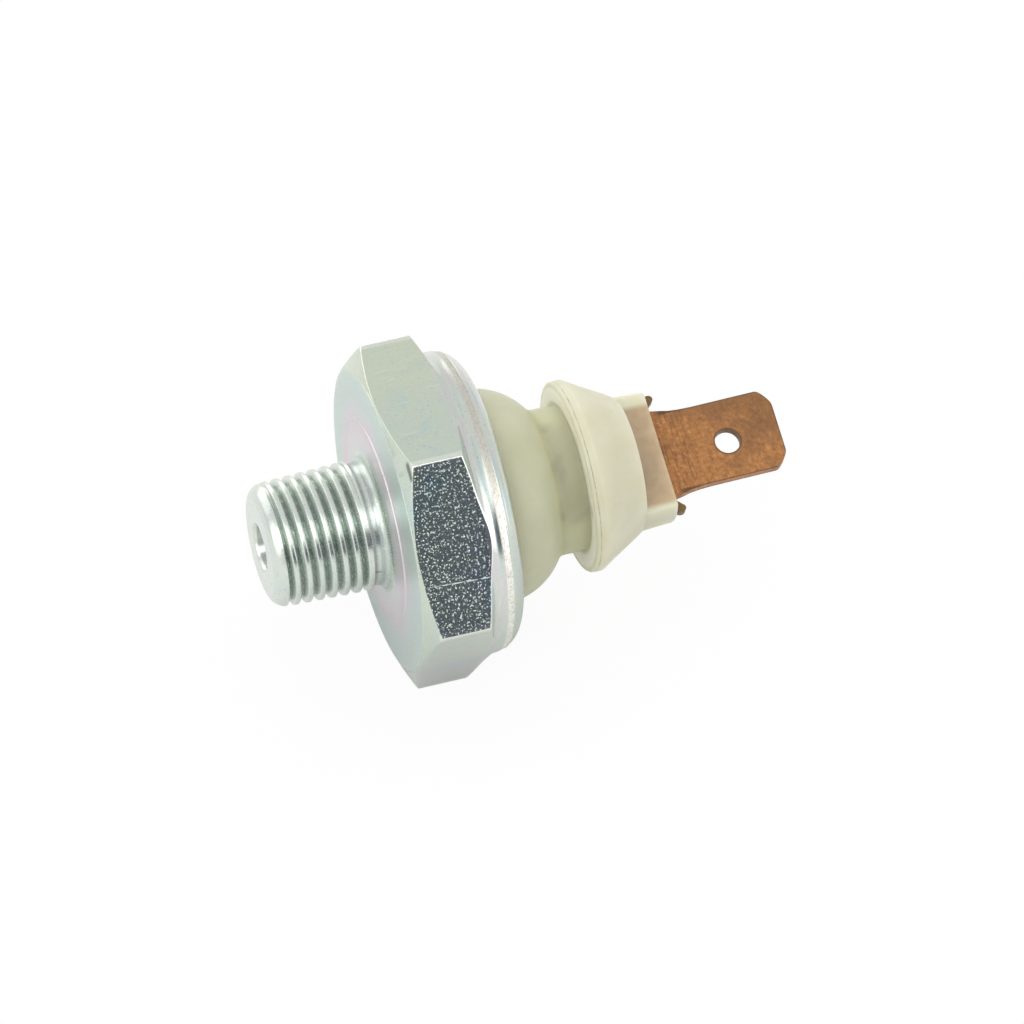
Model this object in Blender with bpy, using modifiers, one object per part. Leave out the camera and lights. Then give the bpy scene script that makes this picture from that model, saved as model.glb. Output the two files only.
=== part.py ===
"""Oil pressure sender: a switch for an engine's oil gallery, with one blade terminal.

Units are metres. The sender lies on one flat of its hexagon, as it comes to rest on a table.
Its axis runs along +X, from the pressure port to the blade. Heights along the axis are
measured from the middle of the hexagon, towards the blade, and radii from the axis.
"""

import math

import bmesh
import bpy
from mathutils import Matrix, Vector

# Hexagon of the housing
HEX_ACROSS_FLATS = 0.0240
HEX_CORNER_EDGE = 0.00392
HEX_CHAMFER_ANGLE = math.radians(24.1)
HEX_FACE_INSET = 0.0002
WASHER_FACE_RADIUS = 0.0081
WASHER_FACE_RISE = 0.00028
WASHER_FACE_EDGE = 0.0001

# Threaded stub, M10 x 1 with a 1 in 16 taper
STUB_LENGTH = 0.00914
NECK_LENGTH = 0.0014
NECK_RADIUS = 0.0048
NECK_FILLET = 0.0008
THREAD_RADIUS = 0.00507
THREAD_TAPER = 1.0 / 16.0
THREAD_SHOULDER = 0.0002
THREAD_PITCH = 0.0010
THREAD_DEPTH = 0.00055
THREAD_FLANK_ANGLE = math.radians(30.0)
THREAD_START = 0.00034
THREAD_RUNOUT_TURNS = 0.9
THREAD_OVERCUT = 0.0002
NOSE_LENGTH = 0.0011
NOSE_SHOULDER = 0.0005
NOSE_SHOULDER_DROP = 0.00015
NOSE_FILLET = 0.0006
TIP_FACE_INSET = 0.00095
TIP_EDGE_FILLET = 0.0003
PORT_RADIUS = 0.00175
PORT_EDGE = 0.0002

# Collar behind the hexagon, rolled over the cap
COLLAR_INSET = 0.00015
COLLAR_WALL = 0.0008
COLLAR_ROOT_FILLET = 0.0006
LIP_ROLL_RADIUS = 0.0020
LIP_CLEARANCE = 0.0003
LIP_EDGE = 0.00025

# Cavity of the housing
CHAMBER_LAND = 0.00155
CHAMBER_DEPTH = 0.0007
LAND_SINK = 0.00168
GROOVE_INSET = 0.00165
GROOVE_WIDTH = 0.0017
GROOVE_DEPTH = 0.0012

# Gap left between pieces that touch or are pressed together
SEAT_GAP = 0.00015
SIDE_GAP = 0.00015

# Seal, diaphragm and switch parts
SEAL_SECTION = 0.0011
DIAPHRAGM_THICKNESS = 0.0003
CONTACT_RING_THICKNESS = 0.0008
CONTACT_RING_RISE = 0.0014
CONTACT_RING_RIM = 0.0024
CONTACT_RING_SLOPE = 0.0010
CONTACT_RING_HOLE = 0.0034
PLUNGER_HEAD_CLEARANCE = 0.0013
PLUNGER_HEAD_THICKNESS = 0.0009
PLUNGER_PIN_RADIUS = 0.0028
CONTACT_OVERLAP = 0.44
CONTACT_THICKNESS = 0.0008
SPIGOT_RADIUS = 0.0019
SPIGOT_HEIGHT = 0.0008
CONTACT_TRAVEL = 0.0004
SPRING_MEAN_RADIUS = 0.0027
SPRING_WIRE_RADIUS = 0.0003
SPRING_TURNS = 5.0
SPRING_LENGTH = 0.0058
SPRING_SEAT_RADIUS = 0.00415
SPRING_SEAT_THICKNESS = 0.0018
TONGUE_DEPTH = 0.0009

# Moulded cap
FLANGE_THICKNESS = 0.0020
DOME_INSET = 0.00345
DOME_BASE_STEP = 0.0001
DOME_BASE_HEIGHT = 0.00085
DOME_ARC_RADIUS = 0.0054
GUIDE_CLEARANCE = 0.0006
CONTACT_ROOM = 0.0012
BOOT_NECK_RADIUS = 0.00572
BOOT_NECK_FILLET = 0.0009
BOOT_NECK_END = 0.01246
SKIRT_RADIUS = 0.00753
SKIRT_FACE_RADIUS = 0.00738
SKIRT_RIM_WIDTH = 0.0009
SKIRT_RIM_FILLET = 0.00015
SKIRT_LENGTH = 0.00469
BLOCK_ROOT_RADIUS = 0.00527
BLOCK_RADIUS = 0.00513
BLOCK_LENGTH = 0.0026
BLOCK_EDGE = 0.00025
BLOCK_HALF_THICKNESS = 0.0018

# Terminal, cut from one strip
TERMINAL_TURN = math.radians(65.7)
STRIP_THICKNESS = 0.0008
STRIP_HALF_WIDTH = 0.0042
TONGUE_HALF_WIDTH = 0.0015
LUG_HALF_WIDTH = 0.00495
LUG_HEIGHT = 0.0008
LUG_TIP_HALF_WIDTH = 0.0046
LUG_NOTCH_HALF_WIDTH = 0.00385
ROOT_HALF_WIDTH = 0.00368
ROOT_LENGTH = 0.0015
ROOT_TAPER = 0.0003
BLADE_HALF_WIDTH = 0.00315
BLADE_LENGTH = 0.00985
BLADE_CORNER_LENGTH = 0.00085
BLADE_CORNER_WIDTH = 0.00095
BLADE_HOLE_RADIUS = 0.0010
BLADE_HOLE_FROM_TIP = 0.0042
BLADE_LEAD_LENGTH = 0.0010
BLADE_LEAD_DEPTH = 0.0002

# Facets
HOUSING_STEPS = 42
THREAD_STEPS = 24
CAP_STEPS = 48
INNER_STEPS = 36
INNER_FILLET_STEPS = 1
SPRING_STEPS_PER_TURN = 18
MERGE = 0.00001

# Places along the axis, worked out from the sizes above
HEX_CORNER_RADIUS = HEX_ACROSS_FLATS / math.sqrt(3.0)
HEX_SLOPE = math.tan(HEX_CHAMFER_ANGLE)
HEX_FACE_RADIUS = HEX_ACROSS_FLATS / 2 - HEX_FACE_INSET
HEX_FACE = HEX_CORNER_EDGE / 2 + (HEX_CORNER_RADIUS - HEX_FACE_RADIUS) * HEX_SLOPE
WASHER_FACE = -HEX_FACE - WASHER_FACE_RISE
TIP = WASHER_FACE - STUB_LENGTH
NECK_END = WASHER_FACE - NECK_LENGTH
COLLAR_RADIUS = HEX_ACROSS_FLATS / 2 - COLLAR_INSET
COLLAR_BORE = COLLAR_RADIUS - COLLAR_WALL
FITTED_RADIUS = COLLAR_BORE - SIDE_GAP
GROOVE_RADIUS = COLLAR_BORE - GROOVE_INSET
CHAMBER_RADIUS = GROOVE_RADIUS - GROOVE_WIDTH / 2 - CHAMBER_LAND
RING_SLOPE_START = FITTED_RADIUS - CONTACT_RING_RIM
RING_RAISED_RADIUS = RING_SLOPE_START - CONTACT_RING_SLOPE
PLUNGER_HEAD_RADIUS = RING_RAISED_RADIUS - PLUNGER_HEAD_CLEARANCE
CONTACT_RADIUS = CONTACT_RING_HOLE + (RING_RAISED_RADIUS - CONTACT_RING_HOLE) * CONTACT_OVERLAP
DOME_RADIUS = COLLAR_RADIUS - DOME_INSET
DOME_BASE_RADIUS = DOME_RADIUS + DOME_BASE_STEP
LIP_HOLE_RADIUS = DOME_BASE_RADIUS + LIP_CLEARANCE
LAND_HEIGHT = HEX_FACE - LAND_SINK
DIAPHRAGM_BASE = LAND_HEIGHT + SEAT_GAP
RING_BASE = DIAPHRAGM_BASE + DIAPHRAGM_THICKNESS + SEAT_GAP
RING_RIM_TOP = RING_BASE + CONTACT_RING_THICKNESS
RING_TOP = RING_RIM_TOP + CONTACT_RING_RISE
CONTACT_BASE = RING_TOP + SEAT_GAP
CONTACT_TOP = CONTACT_BASE + CONTACT_THICKNESS
SPRING_BASE = CONTACT_TOP + SEAT_GAP
SPRING_TOP = SPRING_BASE + SPRING_LENGTH
SPRING_SEAT_BASE = SPRING_TOP + SEAT_GAP
SPRING_SEAT_TOP = SPRING_SEAT_BASE + SPRING_SEAT_THICKNESS
BORE_END = SPRING_SEAT_TOP + SEAT_GAP
CAP_BASE = RING_RIM_TOP + SEAT_GAP
FLANGE_TOP = CAP_BASE + FLANGE_THICKNESS
COLLAR_END = FLANGE_TOP + SEAT_GAP + COLLAR_WALL
DOME_BASE = FLANGE_TOP + DOME_BASE_HEIGHT
SKIRT_END = BOOT_NECK_END + SKIRT_LENGTH
BLOCK_END = SKIRT_END + BLOCK_LENGTH
BLADE_TIP = BLOCK_END + BLADE_LENGTH
MIDDLE = (TIP + BLADE_TIP) / 2


def fresh_scene():
    """Empty the scene and make the collections for the model and for its cutters."""
    for old in list(bpy.data.objects):
        bpy.data.objects.remove(old, do_unlink=True)
    model = bpy.data.collections.new("oil_pressure_sender")
    cutters = bpy.data.collections.new("cutters")
    bpy.context.scene.collection.children.link(model)
    bpy.context.scene.collection.children.link(cutters)
    return model, cutters


def material(name, colour, roughness, metallic):
    """Plain Principled material."""
    made = bpy.data.materials.new(name)
    made.use_nodes = True
    shader = made.node_tree.nodes["Principled BSDF"]
    shader.inputs["Base Color"].default_value = (*colour, 1.0)
    shader.inputs["Roughness"].default_value = roughness
    shader.inputs["Metallic"].default_value = metallic
    return made


def frame(name, parent=None):
    """Empty that carries the pieces."""
    empty = bpy.data.objects.new(name, None)
    bpy.context.scene.collection.objects.link(empty)
    empty.parent = parent
    return empty


def arc(centre, radius, start, end, steps):
    """Points of an arc in a profile; angles run from the radial direction to the axis."""
    radial, height = centre
    angles = [start + (end - start) * i / steps for i in range(steps + 1)]
    return [(radial + radius * math.cos(a), height + radius * math.sin(a)) for a in angles]


def rounded(corners, steps=3):
    """Round each corner given as (radius, height, fillet); a pair stays sharp."""
    points = []
    count = len(corners)
    for i, corner in enumerate(corners):
        here = Vector(corner[:2])
        if len(corner) == 2:
            points.append(tuple(here))
            continue
        to_last = Vector(corners[i - 1][:2]) - here
        to_next = Vector(corners[(i + 1) % count][:2]) - here
        half = to_last.angle(to_next) / 2
        longest = min(to_last.length, to_next.length) * 0.49
        reach = min(corner[2] / math.tan(half), longest)
        radius = reach * math.tan(half)
        middle = (to_last.normalized() + to_next.normalized()).normalized()
        centre = here + middle * (radius / math.sin(half))
        first = here + to_last.normalized() * reach - centre
        last = here + to_next.normalized() * reach - centre
        turn = first.angle_signed(last)
        for step in range(steps + 1):
            spoke = Matrix.Rotation(-turn * step / steps, 2) @ first
            points.append(tuple(centre + spoke))
    return points


def turned(name, points, steps, collection, parent, closed=True):
    """Turn a profile of (radius, height) points about the parent's Z axis."""
    mesh = bpy.data.meshes.new(name)
    count = len(points)
    last = count if closed else count - 1
    edges = [(i, (i + 1) % count) for i in range(last)]
    mesh.from_pydata([(r, 0.0, h) for r, h in points], edges, [])
    piece = bpy.data.objects.new(name, mesh)
    collection.objects.link(piece)
    piece.parent = parent
    screw = piece.modifiers.new("turn", "SCREW")
    screw.axis = "Z"
    screw.angle = math.tau
    screw.steps = steps
    screw.render_steps = steps
    screw.use_merge_vertices = True
    screw.merge_threshold = MERGE
    screw.use_smooth_shade = True
    return piece


def as_cutter(piece):
    """Mark a piece as a cutter."""
    piece.hide_render = True
    piece.display_type = "WIRE"
    return piece


def box_cutter(name, low, high, collection, parent):
    """Box between two corners, in the parent's frame."""
    bpy.ops.mesh.primitive_cube_add(size=1.0)
    piece = bpy.context.object
    piece.name = name
    low = Vector(low)
    high = Vector(high)
    scale = Matrix.Diagonal((*(high - low), 1.0))
    piece.data.transform(Matrix.Translation((low + high) / 2) @ scale)
    for holder in list(piece.users_collection):
        holder.objects.unlink(piece)
    collection.objects.link(piece)
    piece.parent = parent
    return as_cutter(piece)


def cut(piece, cutter, operation="DIFFERENCE"):
    """Boolean between a piece and a cutter."""
    step = piece.modifiers.new(cutter.name, "BOOLEAN")
    step.operation = operation
    step.solver = "EXACT"
    step.object = cutter


def hex_prism(collection, parent):
    """Six-sided prism that trims the turned blank to the hexagon."""
    bpy.ops.mesh.primitive_cylinder_add(vertices=6, radius=HEX_CORNER_RADIUS, depth=4 * STUB_LENGTH)
    prism = bpy.context.object
    prism.name = "hex_prism"
    for holder in list(prism.users_collection):
        holder.objects.unlink(prism)
    collection.objects.link(prism)
    prism.parent = parent
    return as_cutter(prism)


def crest_radius(height):
    """Radius of the tapered thread's crest at a height on the stub."""
    return THREAD_RADIUS - (NECK_END - height) * THREAD_TAPER / 2


def thread_groove(collection, parent):
    """V groove that winds up the stub as a right-hand thread and runs out at both ends."""
    start = TIP + THREAD_START
    steps = int((NECK_END - start) / THREAD_PITCH * THREAD_STEPS)
    points = []
    for i in range(steps + 1):
        turn = i / THREAD_STEPS
        height = start + THREAD_PITCH * turn
        crest = crest_radius(height)
        to_end = (steps - i) / THREAD_STEPS
        share = min(1.0, turn / THREAD_RUNOUT_TURNS, to_end / THREAD_RUNOUT_TURNS)
        depth = (THREAD_DEPTH + THREAD_OVERCUT / 2) * share - THREAD_OVERCUT / 2
        half_width = (depth + THREAD_OVERCUT) * math.tan(THREAD_FLANK_ANGLE)
        angle = math.tau * turn
        section = (
            (crest + THREAD_OVERCUT, height - half_width),
            (crest - depth, height),
            (crest + THREAD_OVERCUT, height + half_width),
        )
        points += [(r * math.cos(angle), r * math.sin(angle), h) for r, h in section]
    sides = len(section)
    faces = [tuple(range(sides)), tuple(range(steps * sides, (steps + 1) * sides))]
    for i in range(steps):
        here = i * sides
        for j in range(sides):
            k = (j + 1) % sides
            faces.append((here + j, here + k, here + sides + k, here + sides + j))
    mesh = bpy.data.meshes.new("thread_groove")
    mesh.from_pydata(points, [], faces)
    shape = bmesh.new()
    shape.from_mesh(mesh)
    bmesh.ops.recalc_face_normals(shape, faces=shape.faces)
    shape.to_mesh(mesh)
    shape.free()
    groove = bpy.data.objects.new("thread_groove", mesh)
    collection.objects.link(groove)
    groove.parent = parent
    return as_cutter(groove)


def housing(model, cutters, axis):
    """Steel housing: threaded stub with its port, hexagon, cavity and rolled collar."""
    lip_centre = (COLLAR_RADIUS - LIP_ROLL_RADIUS, COLLAR_END - LIP_ROLL_RADIUS)
    lip_inner_radius = LIP_ROLL_RADIUS - COLLAR_WALL
    blank_radius = HEX_CORNER_RADIUS * 1.03
    blank_edge = HEX_CORNER_EDGE / 2 - (blank_radius - HEX_CORNER_RADIUS) * HEX_SLOPE
    collar_root = HEX_CORNER_EDGE / 2 + (HEX_CORNER_RADIUS - COLLAR_RADIUS) * HEX_SLOPE
    thread_tip = TIP + NOSE_LENGTH
    thread_tip_radius = crest_radius(thread_tip)
    outside = [
        (COLLAR_RADIUS, collar_root, COLLAR_ROOT_FILLET),
        (blank_radius, blank_edge),
        (blank_radius, -blank_edge),
        (HEX_FACE_RADIUS, -HEX_FACE),
        (WASHER_FACE_RADIUS + WASHER_FACE_EDGE, WASHER_FACE + WASHER_FACE_EDGE),
        (WASHER_FACE_RADIUS, WASHER_FACE),
        (NECK_RADIUS, WASHER_FACE, NECK_FILLET),
        (NECK_RADIUS, NECK_END),
        (THREAD_RADIUS, NECK_END - THREAD_SHOULDER),
        (thread_tip_radius, thread_tip),
        (thread_tip_radius - NOSE_SHOULDER_DROP, TIP + NOSE_SHOULDER, NOSE_FILLET),
        (thread_tip_radius - TIP_FACE_INSET, TIP, TIP_EDGE_FILLET),
    ]
    inside = [
        (PORT_RADIUS + PORT_EDGE, TIP),
        (PORT_RADIUS, TIP + PORT_EDGE),
        (PORT_RADIUS, LAND_HEIGHT - CHAMBER_DEPTH),
        (CHAMBER_RADIUS, LAND_HEIGHT - CHAMBER_DEPTH),
        (CHAMBER_RADIUS, LAND_HEIGHT),
        (GROOVE_RADIUS - GROOVE_WIDTH / 2, LAND_HEIGHT),
        (GROOVE_RADIUS - GROOVE_WIDTH / 2, LAND_HEIGHT - GROOVE_DEPTH),
        (GROOVE_RADIUS + GROOVE_WIDTH / 2, LAND_HEIGHT - GROOVE_DEPTH),
        (GROOVE_RADIUS + GROOVE_WIDTH / 2, LAND_HEIGHT),
        (COLLAR_BORE, LAND_HEIGHT),
    ]
    lip_outside = arc(lip_centre, LIP_ROLL_RADIUS, math.pi / 2, 0.0, 7)
    lip_inside = arc(lip_centre, lip_inner_radius, 0.0, math.pi / 2, 4)
    lip_edge = [
        (LIP_HOLE_RADIUS, COLLAR_END - COLLAR_WALL),
        (LIP_HOLE_RADIUS, COLLAR_END, LIP_EDGE),
    ]
    points = rounded(lip_outside + outside + inside + lip_inside + lip_edge)
    piece = turned("housing", points, HOUSING_STEPS, model, axis)
    cut(piece, hex_prism(cutters, axis), "INTERSECT")
    cut(piece, thread_groove(cutters, axis))
    return piece


def sealing_ring(model, axis):
    """Rubber ring in the groove of the housing's land."""
    height = LAND_HEIGHT - GROOVE_DEPTH + SEAT_GAP + SEAL_SECTION / 2
    points = arc((GROOVE_RADIUS, height), SEAL_SECTION / 2, 0.0, -math.tau, 8)[:-1]
    return turned("sealing_ring", points, INNER_STEPS, model, axis)


def diaphragm(model, axis):
    """Film that closes the pressure chamber."""
    top = DIAPHRAGM_BASE + DIAPHRAGM_THICKNESS
    points = [(0.0, top), (FITTED_RADIUS, top), (FITTED_RADIUS, DIAPHRAGM_BASE), (0.0, DIAPHRAGM_BASE)]
    return turned("diaphragm", points, INNER_STEPS, model, axis, closed=False)


def contact_ring(model, axis):
    """Dished ring clamped under the cap; its raised middle is the fixed contact."""
    underside = RING_TOP - CONTACT_RING_THICKNESS
    points = [
        (FITTED_RADIUS, RING_RIM_TOP),
        (FITTED_RADIUS, RING_BASE),
        (RING_SLOPE_START, RING_BASE),
        (RING_RAISED_RADIUS, underside),
        (CONTACT_RING_HOLE, underside),
        (CONTACT_RING_HOLE, RING_TOP),
        (RING_RAISED_RADIUS, RING_TOP),
        (RING_SLOPE_START, RING_RIM_TOP),
    ]
    return turned("contact_ring", points, INNER_STEPS, model, axis)


def plunger(model, axis):
    """Pin that the diaphragm lifts; it passes through the contact ring."""
    base = DIAPHRAGM_BASE + DIAPHRAGM_THICKNESS + SEAT_GAP
    head_top = base + PLUNGER_HEAD_THICKNESS
    pin_top = CONTACT_BASE - SEAT_GAP
    corners = [
        (0.0, pin_top),
        (PLUNGER_PIN_RADIUS, pin_top, SEAT_GAP),
        (PLUNGER_PIN_RADIUS, head_top),
        (PLUNGER_HEAD_RADIUS, head_top, SEAT_GAP),
        (PLUNGER_HEAD_RADIUS, base, SEAT_GAP),
        (0.0, base),
    ]
    points = rounded(corners, INNER_FILLET_STEPS)
    return turned("plunger", points, INNER_STEPS, model, axis, closed=False)


def moving_contact(model, axis):
    """Disc that the spring holds on the contact ring, with a spigot inside the spring."""
    spigot_top = CONTACT_TOP + SPIGOT_HEIGHT
    corners = [
        (0.0, spigot_top),
        (SPIGOT_RADIUS, spigot_top, SEAT_GAP),
        (SPIGOT_RADIUS, CONTACT_TOP),
        (CONTACT_RADIUS, CONTACT_TOP, SEAT_GAP),
        (CONTACT_RADIUS, CONTACT_BASE, SEAT_GAP),
        (0.0, CONTACT_BASE),
    ]
    points = rounded(corners, INNER_FILLET_STEPS)
    return turned("moving_contact", points, INNER_STEPS, model, axis, closed=False)


def spring(model, axis):
    """Compression spring between the moving contact and its seat."""
    bottom = SPRING_BASE + SPRING_WIRE_RADIUS
    rise = SPRING_LENGTH - 2 * SPRING_WIRE_RADIUS
    steps = int(SPRING_TURNS * SPRING_STEPS_PER_TURN)
    curve = bpy.data.curves.new("spring", "CURVE")
    curve.dimensions = "3D"
    curve.bevel_depth = SPRING_WIRE_RADIUS
    curve.bevel_resolution = 2
    curve.use_fill_caps = True
    line = curve.splines.new("POLY")
    line.points.add(steps)
    for i, point in enumerate(line.points):
        share = i / steps
        angle = math.tau * SPRING_TURNS * share
        across = SPRING_MEAN_RADIUS * math.cos(angle)
        along = SPRING_MEAN_RADIUS * math.sin(angle)
        point.co = (across, along, bottom + rise * share, 1.0)
    piece = bpy.data.objects.new("spring", curve)
    model.objects.link(piece)
    piece.parent = axis
    return piece


def spring_seat(model, cutters, blade):
    """Steel plug at the end of the cap's bore; the terminal's tongue sits in its slot."""
    spigot_base = SPRING_SEAT_BASE - SPIGOT_HEIGHT
    corners = [
        (0.0, SPRING_SEAT_TOP),
        (SPRING_SEAT_RADIUS, SPRING_SEAT_TOP, SEAT_GAP),
        (SPRING_SEAT_RADIUS, SPRING_SEAT_BASE, SEAT_GAP),
        (SPIGOT_RADIUS, SPRING_SEAT_BASE),
        (SPIGOT_RADIUS, spigot_base, SEAT_GAP),
        (0.0, spigot_base),
    ]
    points = rounded(corners, INNER_FILLET_STEPS)
    piece = turned("spring_seat", points, INNER_STEPS, model, blade, closed=False)
    across = TONGUE_HALF_WIDTH + SIDE_GAP
    through = STRIP_THICKNESS / 2 + SIDE_GAP
    low = (-across, -through, SPRING_SEAT_TOP - TONGUE_DEPTH - SEAT_GAP)
    high = (across, through, SPRING_SEAT_TOP + TONGUE_DEPTH)
    cut(piece, box_cutter("tongue_slot", low, high, cutters, blade))
    return piece


def cap(model, cutters, blade):
    """Moulded insulating cap: flange, dome, boot neck, conical skirt and flattened block."""
    dome_centre = (DOME_RADIUS - DOME_ARC_RADIUS, DOME_BASE)
    neck_angle = math.acos((BOOT_NECK_RADIUS - dome_centre[0]) / DOME_ARC_RADIUS)
    dome_top = DOME_BASE + DOME_ARC_RADIUS * math.sin(neck_angle)
    rim_end = BOOT_NECK_END + SKIRT_RIM_WIDTH
    ring_raised_end = RING_SLOPE_START + SIDE_GAP
    contact_room = CONTACT_RADIUS + GUIDE_CLEARANCE
    guide_top = CONTACT_TOP + CONTACT_TRAVEL + CONTACT_ROOM
    bore = SPRING_SEAT_RADIUS + SIDE_GAP
    flange_fillet = LIP_ROLL_RADIUS - COLLAR_WALL - SIDE_GAP
    dome = arc(dome_centre, DOME_ARC_RADIUS, neck_angle, 0.0, 9)[1:]
    outside = [
        (0.0, BLOCK_END),
        (BLOCK_RADIUS, BLOCK_END, BLOCK_EDGE),
        (BLOCK_ROOT_RADIUS, SKIRT_END),
        (SKIRT_RADIUS, rim_end, SKIRT_RIM_FILLET),
        (SKIRT_RADIUS, BOOT_NECK_END + SKIRT_RIM_FILLET),
        (SKIRT_FACE_RADIUS, BOOT_NECK_END),
        (BOOT_NECK_RADIUS, BOOT_NECK_END),
        (BOOT_NECK_RADIUS, dome_top, BOOT_NECK_FILLET),
    ]
    inside = [
        (DOME_BASE_RADIUS, FLANGE_TOP),
        (FITTED_RADIUS, FLANGE_TOP, flange_fillet),
        (FITTED_RADIUS, CAP_BASE),
        (ring_raised_end, CAP_BASE),
        (ring_raised_end, RING_TOP + SEAT_GAP),
        (contact_room, RING_TOP + SEAT_GAP),
        (contact_room, guide_top),
        (bore, guide_top),
        (bore, BORE_END),
        (0.0, BORE_END),
    ]
    points = rounded(outside + dome + inside)
    piece = turned("cap", points, CAP_STEPS, model, blade, closed=False)
    reach = 2 * BLOCK_RADIUS
    for side in (-1.0, 1.0):
        near = side * BLOCK_HALF_THICKNESS
        far = side * reach
        low = (-reach, min(near, far), SKIRT_END)
        high = (reach, max(near, far), BLOCK_END + BLOCK_LENGTH)
        cut(piece, box_cutter(f"block_flat_{side:+.0f}", low, high, cutters, blade))
    across = STRIP_HALF_WIDTH + SIDE_GAP
    through = STRIP_THICKNESS / 2 + SIDE_GAP
    low = (-across, -through, BORE_END - SEAT_GAP)
    high = (across, through, BLOCK_END + BLOCK_LENGTH)
    cut(piece, box_cutter("strip_slot", low, high, cutters, blade))
    return piece


def half_outline():
    """One side of the terminal's outline as (height, half width), from tongue to tip."""
    lug_base = BLOCK_END + SIDE_GAP
    root_end = BLOCK_END + ROOT_LENGTH
    strip_start = BORE_END + SEAT_GAP
    return [
        (SPRING_SEAT_TOP - TONGUE_DEPTH, TONGUE_HALF_WIDTH),
        (strip_start, TONGUE_HALF_WIDTH),
        (strip_start, STRIP_HALF_WIDTH),
        (lug_base, STRIP_HALF_WIDTH),
        (lug_base, LUG_HALF_WIDTH),
        (lug_base + LUG_HEIGHT * 0.45, LUG_HALF_WIDTH),
        (lug_base + LUG_HEIGHT * 0.90, (LUG_HALF_WIDTH + LUG_TIP_HALF_WIDTH) / 2),
        (lug_base + LUG_HEIGHT, LUG_TIP_HALF_WIDTH),
        (lug_base + LUG_HEIGHT * 0.85, LUG_TIP_HALF_WIDTH - SIDE_GAP),
        (lug_base, LUG_NOTCH_HALF_WIDTH),
        (lug_base, ROOT_HALF_WIDTH),
        (root_end, ROOT_HALF_WIDTH - ROOT_TAPER),
        (root_end + SIDE_GAP, BLADE_HALF_WIDTH),
        (BLADE_TIP - BLADE_CORNER_LENGTH, BLADE_HALF_WIDTH),
        (BLADE_TIP, BLADE_HALF_WIDTH - BLADE_CORNER_WIDTH),
    ]


def closed_spline(curve, points):
    """Add a closed polyline to a flat curve."""
    line = curve.splines.new("POLY")
    line.points.add(len(points) - 1)
    for target, (along, across) in zip(line.points, points):
        target.co = (along, across, 0.0, 1.0)
    line.use_cyclic_u = True


def terminal(model, cutters, blade):
    """Blade terminal: tongue, strip inside the cap, two staked lugs, shoulders and blade."""
    side = half_outline()
    outline = side + [(along, -across) for along, across in reversed(side)]
    hole_centre = BLADE_TIP - BLADE_HOLE_FROM_TIP
    hole = arc((hole_centre, 0.0), BLADE_HOLE_RADIUS, 0.0, math.tau, 24)[:-1]
    flat = bpy.data.curves.new("terminal_outline", "CURVE")
    flat.dimensions = "2D"
    flat.fill_mode = "BOTH"
    flat.extrude = STRIP_THICKNESS / 2
    closed_spline(flat, outline)
    closed_spline(flat, hole)
    sketch = bpy.data.objects.new("terminal_sketch", flat)
    model.objects.link(sketch)
    # The outline's X axis runs along the sender and its Y axis across the blade
    sketch.rotation_euler = (-math.pi / 2, -math.pi / 2, 0.0)
    sketch.parent = blade
    bpy.context.view_layer.update()
    evaluated = sketch.evaluated_get(bpy.context.evaluated_depsgraph_get())
    mesh = bpy.data.meshes.new_from_object(evaluated)
    piece = bpy.data.objects.new("terminal", mesh)
    model.objects.link(piece)
    piece.parent = blade
    piece.rotation_euler = sketch.rotation_euler
    bpy.data.objects.remove(sketch, do_unlink=True)
    weld = piece.modifiers.new("weld", "WELD")
    weld.merge_threshold = MERGE
    lead = math.atan2(BLADE_LEAD_DEPTH, BLADE_LEAD_LENGTH)
    reach = 2 * BLADE_HALF_WIDTH
    for face in (-1.0, 1.0):
        start = Vector((0.0, face * STRIP_THICKNESS / 2, BLADE_TIP - BLADE_LEAD_LENGTH))
        near = min(0.0, face * reach)
        far = max(0.0, face * reach)
        low = (-reach, near, 0.0)
        high = (reach, far, reach)
        wedge = box_cutter(f"lead_in_{face:+.0f}", low, high, cutters, blade)
        wedge.data.transform(Matrix.Rotation(face * lead, 4, "X"))
        wedge.location = start
        cut(piece, wedge)
    return piece


def build():
    """Make every piece of the sender."""
    model, cutters = fresh_scene()
    axis = frame("sender_axis")
    axis.location = (-MIDDLE, 0.0, HEX_ACROSS_FLATS / 2)
    axis.rotation_euler = (0.0, math.pi / 2, 0.0)
    blade = frame("blade_frame", axis)
    blade.rotation_euler = (0.0, 0.0, -TERMINAL_TURN)
    steel = material("zinc_plated_steel", (0.62, 0.66, 0.63), 0.3, 1.0)
    rubber = material("seal_rubber", (0.03, 0.03, 0.03), 0.7, 0.0)
    film = material("diaphragm_film", (0.45, 0.26, 0.08), 0.4, 0.0)
    brass = material("contact_brass", (0.75, 0.58, 0.28), 0.35, 1.0)
    resin = material("plunger_resin", (0.08, 0.07, 0.06), 0.5, 0.0)
    wire = material("spring_wire", (0.55, 0.55, 0.54), 0.35, 1.0)
    plain_steel = material("seat_steel", (0.35, 0.36, 0.36), 0.4, 1.0)
    nylon = material("natural_nylon", (0.78, 0.78, 0.66), 0.4, 0.0)
    copper = material("tarnished_copper", (0.50, 0.27, 0.13), 0.45, 1.0)
    finished = (
        (housing(model, cutters, axis), steel),
        (sealing_ring(model, axis), rubber),
        (diaphragm(model, axis), film),
        (contact_ring(model, axis), brass),
        (plunger(model, axis), resin),
        (moving_contact(model, axis), brass),
        (spring(model, axis), wire),
        (spring_seat(model, cutters, blade), plain_steel),
        (cap(model, cutters, blade), nylon),
        (terminal(model, cutters, blade), copper),
    )
    for piece, finish in finished:
        piece.data.materials.clear()
        piece.data.materials.append(finish)


build()
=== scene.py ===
"""Looks of the oil pressure sender: its skins, materials, light and camera.

Lengths are in millimetres from the middle of the hexagon, on the sender's axis, and become
metres where a mesh is made. Angles go round the axis from the front (-Y) up towards +Z.
"""

import math

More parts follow.
